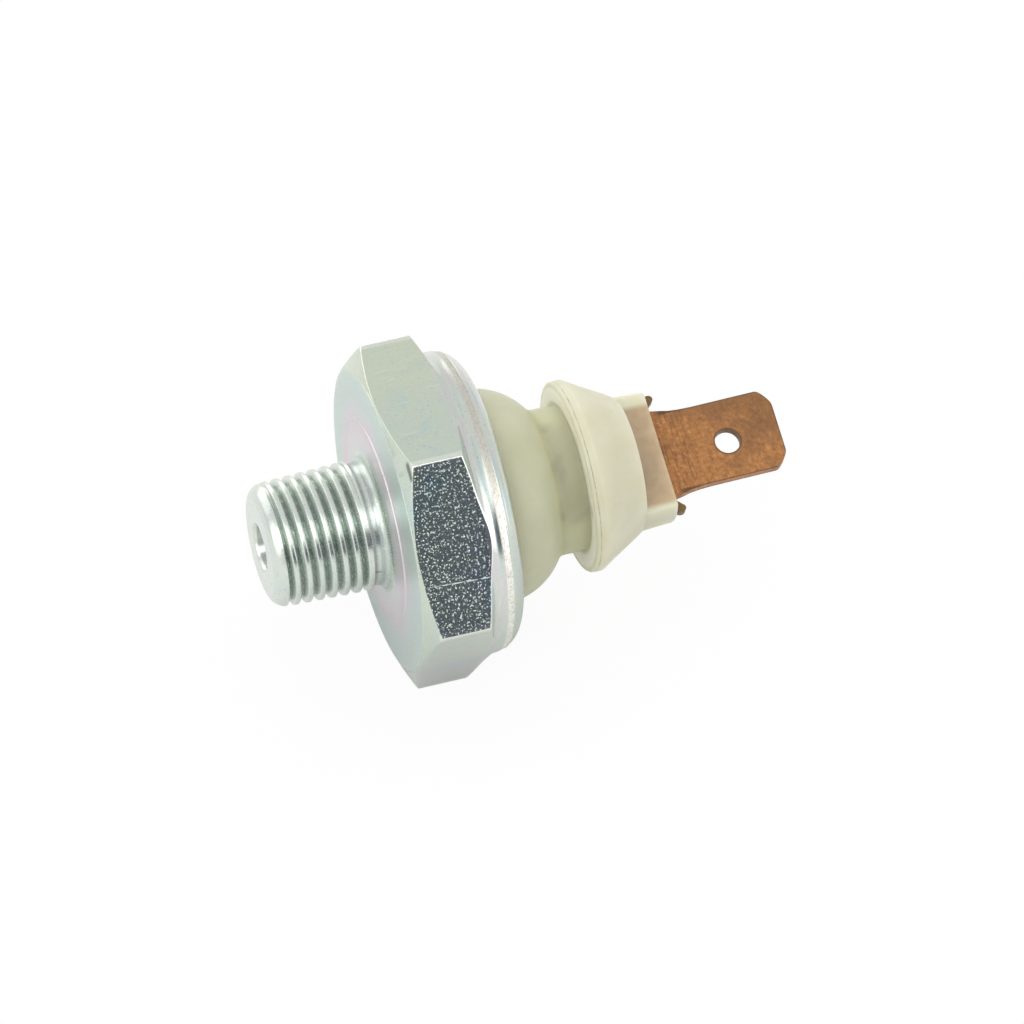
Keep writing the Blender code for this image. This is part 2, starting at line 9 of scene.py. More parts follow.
import bmesh
import bpy
import numpy as np
from mathutils import Matrix, Vector

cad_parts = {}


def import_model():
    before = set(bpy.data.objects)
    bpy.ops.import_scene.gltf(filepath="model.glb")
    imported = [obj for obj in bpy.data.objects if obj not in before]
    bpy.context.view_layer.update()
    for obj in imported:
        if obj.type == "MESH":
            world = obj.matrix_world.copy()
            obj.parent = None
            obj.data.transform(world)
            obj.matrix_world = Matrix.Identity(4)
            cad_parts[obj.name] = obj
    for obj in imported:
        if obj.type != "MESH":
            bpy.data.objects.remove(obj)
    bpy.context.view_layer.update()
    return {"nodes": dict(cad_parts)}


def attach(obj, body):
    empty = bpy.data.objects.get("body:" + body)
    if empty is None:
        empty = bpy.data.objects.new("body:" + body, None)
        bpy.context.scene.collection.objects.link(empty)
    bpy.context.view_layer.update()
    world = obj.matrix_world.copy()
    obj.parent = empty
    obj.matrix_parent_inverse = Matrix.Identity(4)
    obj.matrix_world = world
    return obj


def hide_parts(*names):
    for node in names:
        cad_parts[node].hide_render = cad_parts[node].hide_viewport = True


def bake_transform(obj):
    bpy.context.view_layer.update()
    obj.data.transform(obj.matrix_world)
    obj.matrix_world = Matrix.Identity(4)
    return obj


MM = 0.001
AXIS_HEIGHT = 12.0
HEX_MIDDLE = -8.65
AXIS_POINT = Vector((HEX_MIDDLE, 0.0, AXIS_HEIGHT)) * MM

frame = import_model()

# Housing
FLAT_RADIUS = 12.0
CORNER_RADIUS = 2 * FLAT_RADIUS / math.sqrt(3)
CORNER_ROUND = 0.20
CORNER_EDGE = 1.96
HEX_FACE = 2.88
FACE_RADIUS = 11.8
CHAMFER_SLOPE = math.tan(math.radians(24.1))
EDGE_ROUND = 0.12
WASHER_FACE = -3.16
WASHER_RADIUS = 8.1
TIP = -12.3
PORT_RADIUS = 1.75
COLLAR_RADIUS = 11.85
COLLAR_END = 5.7
COLLAR_WALL = 0.8
ROOT_ROUND = 1.35
LIP_ROUND = 2.0
LIP_HOLE_RADIUS = 8.8

# Thread
PITCH = 0.97
THREAD_DEPTH = 0.52
THREAD_START = -4.56
THREAD_TIP = -11.5
CREST_RADIUS = 5.07
CREST_TAPER = 1 / 32
CREST_HALF_WIDTH = 0.16
CREST_ROUND = 0.12
VALLEY_ROUND = 0.06
CREST_PLACE = -8.085
CREST_ANGLE = math.radians(135.7)
THREAD_STEP = 0.034
TIP_ROUND_START = -10.9
TIP_STEPS = 8

# Cap
BLADE_ANGLE = math.radians(65.7)
SHADE_ANGLE = math.radians(51)
DOME_PLACE = 5.6
DOME_CENTRE = 3.0
DOME_ROUND = 5.4
NECK_RADIUS = 5.73
NECK_ROUND = 0.9
SKIRT_PLACE = 12.46
SKIRT_RADIUS = 7.53
BLOCK_ROOT_RADIUS = 5.27
BLOCK_RADIUS = 5.13
BLOCK_HALF = 1.8
BLOCK_START = 17.15
BLOCK_END = 19.75
SLOT_HALF_WIDTH = 4.35
SLOT_HALF_THICKNESS = 0.55

# Terminal, with the lean and the off-centre hole of this one
STRIP_HALF = 0.4
BLADE_HALF = 3.23
BLADE_TIP = 29.54
LEAD_START = 28.5
LEAD_CUTS = (LEAD_START, 29.1)
LEAD_SHARE = 0.42
LEAN = math.tan(math.radians(0.86))
LEAN_START = 17.6
HOLE_PLACE = (25.28, -0.09)
HOLE_RADIUS = 1.0
HOLE_STEPS = 48
STRIP_BEVEL = 0.14


def srgb(red, green, blue):
    """Linear colour from the 0 to 255 values seen on a screen."""
    out = []
    for value in (red, green, blue):
        share = value / 255
        out.append(share / 12.92 if share <= 0.04045 else ((share + 0.055) / 1.055) ** 2.4)
    return (*out, 1.0)


def grey(value):
    """Neutral linear colour."""
    return (value, value, value, 1)


# Meshes


def scene_object(name, data, place=(0, 0, 0)):
    """Object in the scene, from its data."""
    made = bpy.data.objects.new(name, data)
    bpy.context.scene.collection.objects.link(made)
    made.location = place
    return made


def mesh_object(name, points, faces):
    """Object on the sender's axis, from points in millimetres."""
    mesh = bpy.data.meshes.new(name)
    mesh.from_pydata([tuple(np.array(p) * MM) for p in points], [], faces)
    mesh.validate()
    return scene_object(name, mesh, AXIS_POINT)


def evaluated_mesh(piece):
    """Copy of a piece's mesh with its modifiers applied."""
    bpy.context.view_layer.update()
    evaluated = piece.evaluated_get(bpy.context.evaluated_depsgraph_get())
    return bpy.data.meshes.new_from_object(evaluated)


def smooth(piece, angle=35.0, weighted=True):
    """Smooth shading with sharp edges above an angle."""
    mesh = piece.data
    mesh.shade_smooth()
    mesh.set_sharp_from_angle(angle=math.radians(angle))
    if weighted:
        step = piece.modifiers.new("normals", "WEIGHTED_NORMAL")
        step.keep_sharp = True
        step.weight = 90


def grid_skin(name, rows, angles, loop=True):
    """Closed skin from rows of (place, radius) arrays over the given angles."""
    count = len(angles)
    points = []
    for along, radius in rows:
        along = np.broadcast_to(along, count)
        radius = np.broadcast_to(radius, count)
        for a, x, r in zip(angles, along, radius):
            points.append((x, -r * math.cos(a), r * math.sin(a)))
    faces = []
    total = len(rows)
    for i in range(total if loop else total - 1):
        here = i * count
        there = (i + 1) % total * count
        for j in range(count):
            k = (j + 1) % count
            faces.append((here + j, here + k, there + k, there + j))
    if not loop:
        faces.append(tuple(range(count))[::-1])
        faces.append(tuple((total - 1) * count + j for j in range(count)))
    return mesh_object(name, points, faces)


def arc(centre, radius, start, end, steps):
    """Points (place, radius) of an arc; angles are in degrees from the outward direction."""
    angles = np.radians(np.linspace(start, end, steps + 1))
    return [(centre[0] + radius * math.sin(a), centre[1] + radius * math.cos(a)) for a in angles]


def bent(start, corner, end, share):
    """Point at a share of the curve from start to end that bends toward a corner."""
    return start * (1 - share) ** 2 + corner * 2 * share * (1 - share) + end * share * share


def fillet(corner, before, after, reach, steps=4):
    """Rounded corner between two neighbours, cut back by reach on both sides."""
    c = Vector(corner)
    a = Vector(before) - c
    b = Vector(after) - c
    cut_back = min(reach, a.length * 0.49, b.length * 0.49)
    start = c + a.normalized() * cut_back
    end = c + b.normalized() * cut_back
    return [tuple(bent(start, c, end, i / steps)) for i in range(steps + 1)]


def rounded(corners, steps=4):
    """Profile from (place, radius) or (place, radius, reach) corners."""
    out = []
    for i, corner in enumerate(corners):
        if len(corner) == 2 or i in (0, len(corners) - 1):
            out.append(tuple(corner[:2]))
            continue
        before = corners[i - 1][:2]
        after = corners[i + 1][:2]
        out.extend(fillet(corner[:2], before, after, corner[2], steps))
    return out


def hex_columns():
    """Angles round the housing, and the radius of the rounded hexagon at each."""
    angles = []
    radii = []
    reach = CORNER_ROUND * math.tan(math.radians(30))
    half_side = CORNER_RADIUS / 2 - reach
    for side in range(6):
        turn = math.radians(30 + 60 * side)
        for v in np.linspace(-half_side, half_side, 29):
            angles.append(turn + math.atan2(v, FLAT_RADIUS))
            radii.append(math.hypot(v, FLAT_RADIUS))
        corner = turn + math.radians(30)
        inner = CORNER_RADIUS - CORNER_ROUND / math.cos(math.radians(30))
        for swing in (-15.0, 0.0, 15.0):
            s = math.radians(swing)
            u = inner + CORNER_ROUND * math.cos(s)
            v = CORNER_ROUND * math.sin(s)
            angles.append(corner + math.atan2(v, u))
            radii.append(math.hypot(u, v))
    return np.array(angles), np.array(radii)


def smooth_max(a, b, k):
    """Larger of two values, with a rounded change from one to the other."""
    h = np.clip(0.5 + 0.5 * (a - b) / k, 0.0, 1.0)
    return b * (1 - h) + a * h + k * h * (1 - h)


def thread_radius(along, angles):
    """Radius of the tapered right-hand thread at one place, over the angles."""
    crest = CREST_RADIUS - (THREAD_START - along) * CREST_TAPER
    turn = (along - CREST_PLACE) / PITCH + (angles - CREST_ANGLE) / math.tau
    offset = np.abs(turn - np.round(turn)) * PITCH
    flank = math.sqrt(3) * (offset - CREST_HALF_WIDTH)
    depth = smooth_max(flank, np.zeros_like(flank), CREST_ROUND)
    depth = -smooth_max(-depth, np.full_like(depth, -THREAD_DEPTH), VALLEY_ROUND)
    for from_end in (THREAD_START - 0.1 - along, (along - THREAD_TIP) * 1.6):
        fade = np.clip(from_end / 0.55, 0.0, 1.0)
        depth = depth * fade * fade * (3 - 2 * fade)
    return crest - depth


def back_place(radius):
    """Place of the back chamfer, and of the hollow from it to the collar, at a radius."""
    length = math.hypot(1, CHAMFER_SLOPE)
    root = CORNER_EDGE + (CORNER_RADIUS - COLLAR_RADIUS) * CHAMFER_SLOPE
    centre_place = root + ROOT_ROUND * (length - CHAMFER_SLOPE)
    centre_radius = COLLAR_RADIUS + ROOT_ROUND
    drop = centre_radius - radius
    hollow = centre_place - np.sqrt(np.maximum(ROOT_ROUND**2 - drop**2, 0.0))
    cone = CORNER_EDGE + (CORNER_RADIUS - radius) * CHAMFER_SLOPE
    return np.where(drop < ROOT_ROUND * CHAMFER_SLOPE / length, cone, hollow)


def edge_rows(start, corner, end, steps=4):
    """Rows that round the edge between two surfaces."""
    rows = []
    for i in range(steps + 1):
        rows.append(tuple(bent(*parts, i / steps) for parts in zip(start, corner, end)))
    return rows


LIP_ROLL = (COLLAR_END - LIP_ROUND, COLLAR_RADIUS - LIP_ROUND)
BAND_RELIEF = 0.02
LIP = [
    (COLLAR_END - 0.25, LIP_HOLE_RADIUS),
    (COLLAR_END, LIP_HOLE_RADIUS, 0.2),
    (COLLAR_END, 9.6),
]
FRONT = [
    (-2.80, 11.86),
    (-HEX_FACE, FACE_RADIUS, 0.10),
    (-2.93, 10.9),
    (-2.98, 9.9),
    (-3.03, 8.8),
    (-3.06, WASHER_RADIUS + 0.10, 0.03),
    (WASHER_FACE, WASHER_RADIUS, 0.03),
    (WASHER_FACE, 7.2),
    (WASHER_FACE, 6.2),
    (WASHER_FACE, 5.65),
    (-3.20, 5.48),
    (-3.30, 5.26),
    (-3.50, 5.02),
    (-3.75, 4.86),
    (-3.96, 4.81),
    (-4.25, 4.80),
    (-4.50, 4.81),
    (THREAD_START, 4.83),
]
STUB_TIP = [
    (TIP_ROUND_START, 4.89),
    (-11.62, 4.76, 0.45),
    (-12.12, 4.36, 0.3),
    (TIP, 3.86, 0.2),
    (TIP, 3.4),
]
CAVITY = [
    (0.5, 7.0),
    (1.2, 7.0),
    (1.2, 8.55),
    (0.0, 8.55),
    (0.0, 10.25),
    (1.2, 10.25),
    (1.2, 11.05),
    (2.6, 11.05),
]


def lip_rows():
    """Lip, its roll and the roughened band behind it."""
    rows = rounded(LIP)
    rows += arc(LIP_ROLL, LIP_ROUND, 88, 27, 14)
    rows += arc(LIP_ROLL, LIP_ROUND + BAND_RELIEF, 25.5, 23.5, 2)
    rows += arc(LIP_ROLL, LIP_ROUND - BAND_RELIEF, 22.5, 7.5, 5)
    rows += arc(LIP_ROLL, LIP_ROUND, 5.5, 2, 2)
    return rows


def hexagon_rows(hexagon):
    """Hollow behind the collar, back chamfer, flats and front chamfer."""
    rows = []
    reach = np.minimum(EDGE_ROUND, (hexagon - COLLAR_RADIUS) * 0.45)
    for share in (0.0, 0.08, 0.2, 0.35, 0.55, 0.8):
        radius = COLLAR_RADIUS + (hexagon - reach - COLLAR_RADIUS) * share
        rows.append((back_place(radius), radius))
    edge = back_place(hexagon)
    start = (back_place(hexagon - reach), hexagon - reach)
    rows += edge_rows(start, (edge, hexagon), (edge - reach, hexagon))
    edge = CORNER_EDGE + (CORNER_RADIUS - hexagon) * CHAMFER_SLOPE
    for share in (0.5, 0.0, -0.5):
        rows.append((edge * share, hexagon))
    end = (-edge - reach * CHAMFER_SLOPE, hexagon - reach)
    rows += edge_rows((reach - edge, hexagon), (-edge, hexagon), end)
    return rows


def thread_rows(angles):
    """Thread down to the stub's rounded tip, then the edge of the port."""
    rows = []
    tip = rounded(STUB_TIP, TIP_STEPS)
    places, radii = np.array(tip[: -TIP_STEPS - 2])[::-1].T
    for x in np.arange(THREAD_START - 0.06, THREAD_TIP, -THREAD_STEP):
        radius = thread_radius(x, angles)
        if x < TIP_ROUND_START:
            limit = np.interp(x, places, radii)
            radius = -smooth_max(-radius, np.full_like(radius, -limit), 0.03)
        rows.append((x, radius))
    rows += [(x, r) for x, r in tip if x < THREAD_TIP]
    rows += [(TIP, 3.0), (TIP, 2.4)]
    rows += fillet((TIP, 1.92), (TIP, 2.4), (-11.9, PORT_RADIUS), 0.14)
    return rows


def inner_rows():
    """Port, cavity and the inside of the lip."""
    rows = [(x, PORT_RADIUS) for x in (-12.0, -8.0, -3.0, 0.5)]
    rows += CAVITY
    rows += arc(LIP_ROLL, LIP_ROUND - COLLAR_WALL, 0, 90, 5)
    rows.append((COLLAR_END - COLLAR_WALL, LIP_HOLE_RADIUS))
    return rows


def housing_skin():
    """Housing with its helical thread, rounded hexagon and rolled collar."""
    angles, hexagon = hex_columns()
    rows = lip_rows() + hexagon_rows(hexagon) + rounded(FRONT)
    rows += thread_rows(angles) + inner_rows()
    piece = grid_skin("housing_skin", rows, angles)
    smooth(piece, 40.0)
    return piece


def cap_columns():
    """Angles round the cap, with extra ones at the four edges of its block."""
    edge = math.asin(BLOCK_HALF / BLOCK_RADIUS)
    angles = list(np.radians(np.arange(0.0, 360.0, 2.5)))
    blade = BLADE_ANGLE - math.pi / 2
    for base in (blade, blade + math.pi):
        for side in (-1, 1):
            for swing in (-2.2, -1.0, 0.0, 1.0, 2.2):
                angles.append((base + side * edge + math.radians(swing)) % math.tau)
    return np.array(sorted(angles))


def block_outline(angles, radius, inset=0.0):
    """Radius of the block's outline, a circle cut by two flats, moved in by inset."""
    from_normal = angles - BLADE_ANGLE
    flat = (BLOCK_HALF - inset) / np.maximum(np.abs(np.cos(from_normal)), 1e-4)
    return -smooth_max(-np.minimum(flat, 40.0), np.full_like(flat, -(radius - inset)), 0.12)


def box_mesh(name, low, high):
    """Box between two corners, turned with the blade."""
    points = [(x, y, z) for x in (low[0], high[0]) for y in (low[1], high[1]) for z in (low[2], high[2])]
    faces = [(0, 1, 3, 2), (4, 6, 7, 5), (0, 4, 5, 1), (2, 3, 7, 6), (0, 2, 6, 4), (1, 5, 7, 3)]
    piece = mesh_object(name, points, faces)
    piece.data.transform(blade_turn())
    return piece


def blade_turn():
    """Turns a shape drawn with its width along Y and its thickness along Z onto the blade."""
    return Matrix.Rotation(BLADE_ANGLE - math.pi / 2, 4, "X").inverted()


SKIRT = [
    (11.6, NECK_RADIUS),
    (SKIRT_PLACE, NECK_RADIUS, 0.12),
    (SKIRT_PLACE, 6.6),
    (SKIRT_PLACE, 7.37, 0.05),
    (SKIRT_PLACE + 0.16, SKIRT_RADIUS - 0.03, 0.05),
    (12.73, SKIRT_RADIUS - 0.02),
    (12.76, SKIRT_RADIUS - 0.05),
    (12.79, SKIRT_RADIUS - 0.02),
    (12.95, SKIRT_RADIUS),
    (13.38, SKIRT_RADIUS, 0.12),
    (14.4, 6.91),
    (15.4, 6.33),
    (16.4, 5.76),
    (17.02, 5.36),
    (BLOCK_START - 0.04, BLOCK_ROOT_RADIUS + 0.02),
]
CAP_INSIDE = [
    (4.44, 10.59),
    (3.70, 10.90),
    (2.75, 10.90),
    (2.75, 8.65),
    (4.15, 8.65),
    (4.15, 5.80),
    (6.55, 5.80),
    (6.55, 4.30),
    (13.0, 4.30),
    (13.0, 0.05),
]
SLOT_START = 12.8
SLOT_END = 24.0


def dome_rows():
    """Flange's edge under the lip, then the dome and its fillet to the neck."""
    hollow_radius = NECK_RADIUS + NECK_ROUND
    rise = hollow_radius - DOME_CENTRE
    hollow_place = DOME_PLACE + math.sqrt((DOME_ROUND + NECK_ROUND) ** 2 - rise**2)
    swing = math.degrees(math.atan2(hollow_place - DOME_PLACE, rise))
    rows = [(4.75, 9.85), (4.75, 8.5), (5.3, 8.46)]
    rows += arc((DOME_PLACE, DOME_CENTRE), DOME_ROUND, 0, swing, 18)
    rows += arc((hollow_place, hollow_radius), NECK_ROUND, swing + 180, 180, 6)[1:]
    return rows


def block_rows(angles):
    """Flattened block with its draft and its rounded end."""
    root = block_outline(angles, BLOCK_ROOT_RADIUS)
    end = block_outline(angles, BLOCK_RADIUS)
    on_flat = root < BLOCK_ROOT_RADIUS - 0.08
    rows = [
        (BLOCK_START, np.where(on_flat, BLOCK_ROOT_RADIUS - 0.03, BLOCK_ROOT_RADIUS)),
        (BLOCK_START + 0.02, np.where(on_flat, root + 0.06, root)),
        (BLOCK_START + 0.10, root),
    ]
    for share in (0.5, 0.90):
        rows.append((BLOCK_START + (BLOCK_END - BLOCK_START) * share, root + (end - root) * share))
    for back, inset in ((0.14, 0.02), (0.05, 0.07), (0.0, 0.2)):
        rows.append((BLOCK_END - back, block_outline(angles, BLOCK_RADIUS, inset)))
    rows += [(BLOCK_END, end * 0.6), (BLOCK_END, end * 0.08)]
    return rows


def cap_skin():
    """Moulded cap: dome, boot neck, skirt, cone and flattened block."""
    angles = cap_columns()
    rows = dome_rows() + rounded(SKIRT) + block_rows(angles)
    piece = grid_skin("cap_skin", rows[::-1] + CAP_INSIDE, angles, loop=False)
    low = (SLOT_START, -SLOT_HALF_WIDTH, -SLOT_HALF_THICKNESS)
    high = (SLOT_END, SLOT_HALF_WIDTH, SLOT_HALF_THICKNESS)
    apply_cut(piece, box_mesh("slot_cutter", low, high))
    smooth(piece, 38.0)
    return piece


def apply_cut(piece, cutter):
    """Cut a piece and drop the cutter."""
    step = piece.modifiers.new("cut", "BOOLEAN")
    step.operation = "DIFFERENCE"
    step.solver = "EXACT"
    step.object = cutter
    mesh = evaluated_mesh(piece)
    piece.modifiers.clear()
    piece.data = mesh
    bpy.data.objects.remove(cutter, do_unlink=True)


# One side of the terminal as (place, half width), from the tongue to the tip
TERMINAL_SIDE = [
    (11.95, 1.5),
    (13.15, 1.5),
    (13.15, 4.2),
    (19.90, 4.2),
    (19.90, 4.86),
    (20.05, 4.93),
    (20.26, 4.95),
    (20.45, 4.88),
    (20.56, 4.74),
    (20.58, 4.60),
    (20.52, 4.46),
    (20.38, 4.34),
    (20.20, 4.16),
    (20.02, 3.98),
    (19.92, 3.84),
    (19.90, 3.68),
    (20.3, 3.60),
    (20.9, 3.48),
    (21.4, 3.36),
    (22.2, 3.27),
    (23.2, BLADE_HALF),
    (28.42, BLADE_HALF),
    (28.62, BLADE_HALF - 0.05),
    (28.82, BLADE_HALF - 0.19),
    (29.12, BLADE_HALF - 0.51),
    (29.34, BLADE_HALF - 0.82),
    (29.46, BLADE_HALF - 1.04),
    (29.52, BLADE_HALF - 1.22),
    (BLADE_TIP, BLADE_HALF - 1.45),
]


def strip_mesh(rings):
    """Flat strip between an outline and its holes, given as (place, width) points."""
    curve = bpy.data.curves.new("terminal_outline", "CURVE")
    curve.dimensions = "2D"
    curve.fill_mode = "BOTH"
    curve.extrude = STRIP_HALF * MM
    for ring in rings:
        line = curve.splines.new("POLY")
        line.points.add(len(ring) - 1)
        for target, (x, w) in zip(line.points, ring):
            target.co = (x * MM, w * MM, 0.0, 1.0)
        line.use_cyclic_u = True
    sketch = scene_object("terminal_sketch", curve)
    mesh = evaluated_mesh(sketch)
    bpy.data.objects.remove(sketch, do_unlink=True)
    return mesh


def taper_tip(mesh):
    """Thin the strip toward its tip."""
    work = bmesh.new()
    work.from_mesh(mesh)
    bmesh.ops.remove_doubles(work, verts=work.verts, dist=1e-7)
    for place in LEAD_CUTS:
        geometry = work.verts[:] + work.edges[:] + work.faces[:]
        bmesh.ops.bisect_plane(work, geom=geometry, plane_co=(place * MM, 0, 0), plane_no=(1, 0, 0))
    bmesh.ops.dissolve_limit(work, angle_limit=math.radians(1), verts=work.verts, edges=work.edges)
    for vert in work.verts:
        past = max(0.0, vert.co.x / MM - LEAD_START)
        vert.co.z *= 1 - LEAD_SHARE * past / (BLADE_TIP - LEAD_START)
    work.to_mesh(mesh)
    work.free()


def terminal_skin():
    """Terminal cut from strip, with bevelled edges, a tapered tip and its hole."""
    outline = TERMINAL_SIDE + [(x, -w) for x, w in reversed(TERMINAL_SIDE)]
    outline = [(x, w + max(0.0, x - LEAN_START) * LEAN) for x, w in outline]
    hole = []
    for a in np.linspace(0, math.tau, HOLE_STEPS, False):
        x = HOLE_PLACE[0] + HOLE_RADIUS * math.cos(a)
        hole.append((x, HOLE_PLACE[1] + HOLE_RADIUS * math.sin(a)))
    mesh = strip_mesh((outline, hole))
    taper_tip(mesh)
    mesh.transform(blade_turn())
    piece = scene_object("terminal_skin", mesh, AXIS_POINT)
    bevel = piece.modifiers.new("edges", "BEVEL")
    bevel.width = STRIP_BEVEL * MM
    bevel.segments = 3
    bevel.limit_method = "ANGLE"
    bevel.angle_limit = math.radians(50)
    bevel.use_clamp_overlap = True
    smooth(piece, 30.0)
    return piece


def spring_skin():
    """Copy of the spring's coil, smooth-shaded; in use the coil shortens between its end turns as the
    contact rises.
    """
    piece = scene_object("spring_skin", frame["nodes"]["spring"].data.copy())
    smooth(piece, 50.0, weighted=False)
    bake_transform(piece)
    return piece


# Materials


def outward(angle):
    """Direction away from the axis at an angle round it."""
    return (0, -math.cos(angle), math.sin(angle))


class Paint:
    """Short names for the nodes of one material.

    at, x, y, z and radius are places from the middle of the hexagon, in millimetres.
    """

    def __init__(self, name, on_axis=True):
        self.made = bpy.data.materials.new(name)
        self.made.use_nodes = True
        self.tree = self.made.node_tree
        self.shader = self.tree.nodes["Principled BSDF"]
        self.at = self.place(on_axis)
        self.x, self.y, self.z = self.split(self.at)
        self.radius = self.length(self.y, self.z)

    def node(self, kind, **inputs):
        """New node with values or links on its inputs."""
        made = self.tree.nodes.new(kind)
        for key, value in inputs.items():
            self.put(made.inputs[key], value)
        return made

    def put(self, socket, value):
        """Link another node's output, or write a plain value."""
        if isinstance(value, bpy.types.NodeSocket):
            self.tree.links.new(value, socket)
        else:
            socket.default_value = value

    def place(self, on_axis):
        """Coordinates in millimetres, of a piece that has its origin on the axis or not."""
        coordinate = self.tree.nodes.new("ShaderNodeTexCoord").outputs["Object"]
        shift = self.tree.nodes.new("ShaderNodeVectorMath")
        shift.operation = "SUBTRACT"
        shift.inputs[1].default_value = (0, 0, 0) if on_axis else AXIS_POINT
        self.put(shift.inputs[0], coordinate)
        scale = self.tree.nodes.new("ShaderNodeVectorMath")
        scale.operation = "SCALE"
        self.put(scale.inputs[0], shift.outputs[0])
        scale.inputs["Scale"].default_value = 1 / MM
        return scale.outputs[0]

    def stretch(self, vector, x, y, z):
        """Coordinates multiplied along each axis."""
        made = self.tree.nodes.new("ShaderNodeVectorMath")
        made.operation = "MULTIPLY"
        self.put(made.inputs[0], vector)
        made.inputs[1].default_value = (x, y, z)
        return made.outputs[0]

    def on_blade(self, vector):
        """Coordinates turned so that Y goes across the blade and Z through it."""
        made = self.node("ShaderNodeVectorRotate", Vector=vector)
        made.rotation_type = "X_AXIS"
        made.inputs["Angle"].default_value = BLADE_ANGLE - math.pi / 2
        return made.outputs[0]

    def only(self, value, scale):
        """Coordinates that change with one value alone."""
        return self.node("ShaderNodeCombineXYZ", X=self.math("MULTIPLY", value, scale)).outputs[0]

    def split(self, vector):
        """The three parts of a vector."""
        return self.node("ShaderNodeSeparateXYZ", Vector=vector).outputs

    def math(self, operation, a, b=0.0):
        """One step of arithmetic."""
        made = self.tree.nodes.new("ShaderNodeMath")
        made.operation = operation
        self.put(made.inputs[0], a)
        self.put(made.inputs[1], b)
        return made.outputs[0]

    def noise(self, vector, scale, detail=3.0, roughness=0.5, distortion=0.0):
        """Smooth random values, with scale in repeats per millimetre."""
        made = self.node("ShaderNodeTexNoise", Vector=vector, Scale=scale, Detail=detail)
        made.inputs["Roughness"].default_value = roughness
        made.inputs["Distortion"].default_value = distortion
        return made.outputs[0]

    def ramp(self, value, stops):
        """Map a value through stops of (place, colour or number)."""
        made = self.node("ShaderNodeValToRGB", Fac=value)
        band = made.color_ramp
        while len(band.elements) < len(stops):
            band.elements.new(0.5)
        for element, (place, colour) in zip(band.elements, stops):
            element.position = place
            element.color = srgb(*colour) if isinstance(colour, tuple) else grey(colour)
        return made.outputs[0]

    def mix(self, share, a, b):
        """Colour a, with a share of colour b."""
        made = self.tree.nodes.new("ShaderNodeMix")
        made.data_type = "RGBA"
        self.put(made.inputs[0], share)
        self.put(made.inputs[6], a)
        self.put(made.inputs[7], b)
        return made.outputs[2]

    def cover(self, tint, shade, *shares):
        """Tint covered by a shade, as far as all the shares allow."""
        colour = srgb(*shade) if isinstance(shade, tuple) else shade
        return self.mix(self.all_of(*shares), tint, colour)

    def between(self, value, low, high, soft):
        """1 inside a range and 0 outside it, with edges that fade over soft to each side."""
        up = self.node("ShaderNodeMapRange", Value=value)
        up.interpolation_type = "SMOOTHSTEP"
        up.inputs["From Min"].default_value = low - soft
        up.inputs["From Max"].default_value = low + soft
        down = self.node("ShaderNodeMapRange", Value=value)
        down.interpolation_type = "SMOOTHSTEP"
        down.inputs["From Min"].default_value = high + soft
        down.inputs["From Max"].default_value = high - soft
        return self.math("MULTIPLY", up.outputs[0], down.outputs[0])

    def along(self, vector, direction):
        """Length of a vector along a direction."""
        made = self.tree.nodes.new("ShaderNodeVectorMath")
        made.operation = "DOT_PRODUCT"
        self.put(made.inputs[0], vector)
        made.inputs[1].default_value = direction
        return made.outputs["Value"]

    def length(self, a, b):
        """Length from its two parts at a right angle."""
        squares = self.math("ADD", self.math("MULTIPLY", a, a), self.math("MULTIPLY", b, b))
        return self.math("SQRT", squares)

    def all_of(self, *shares):
        """Product of several shares."""
        out = shares[0]
        for share in shares[1:]:
            out = self.math("MULTIPLY", out, share)
        return out

    def bump(self, height, distance, strength=1.0):
        """Relief from a height, with a distance in millimetres."""
        made = self.node("ShaderNodeBump", Height=height, Distance=distance * MM, Strength=strength)
        return made.outputs[0]

    def set(self, **inputs):
        """Values or links on the shader's inputs."""
        for key, value in inputs.items():
            self.put(self.shader.inputs[key.replace("_", " ")], value)


MARK_ANGLE = math.radians(59)
DARK_FLAT_ANGLE = math.radians(30)
GRAIN_ON_FLATS = 0.22
GRAIN_ELSEWHERE = 0.02
PLAIN_FLAT_SHARE = 0.25
ZINC_RELIEF = 0.07
SOFT_RELIEF = 0.01
NYLON_SCATTER = (0.0034, 0.0031, 0.0022)

# Surfaces of the housing: a range along the axis and its fade, then the same for the radius
HOUSING_ZONES = {
    "neck": (-4.55, -3.3, 0.1, 4.0, 5.6, 0.1),
    "valleys": (THREAD_TIP, THREAD_START, 0.2, 4.0, 6.0, 0.1),
    "port": (-14.0, -11.0, 0.3, -1.0, PORT_RADIUS + 0.02, 0.03),
    "front": (-3.5, -2.86, 0.05, 5.5, 11.9, 0.1),
    "flats": (-2.75, 2.75, 0.1, 11.97, 15.0, 0.02),
    "collar": (2.4, 6.0, 0.1, 9.5, 12.6, 0.1),
    "rough_band": (3.93, 4.48, 0.03, 11.5, 13.0, 0.05),
    "roll": (4.55, 6.0, 0.1, 9.2, 12.6, 0.1),
}


def housing_zones(p):
    """A share for each surface of the housing."""
    zones = {}
    for name, (low, high, fade, inner, outer, round_fade) in HOUSING_ZONES.items():
        along = p.between(p.x, low, high, fade)
        zones[name] = p.math("MULTIPLY", along, p.between(p.radius, inner, outer, round_fade))
    zones["stub"] = p.between(p.x, -14.0, -3.6, 0.3)
    zones["near_side"] = p.math("LESS_THAN", p.y, 0.0)
    return zones


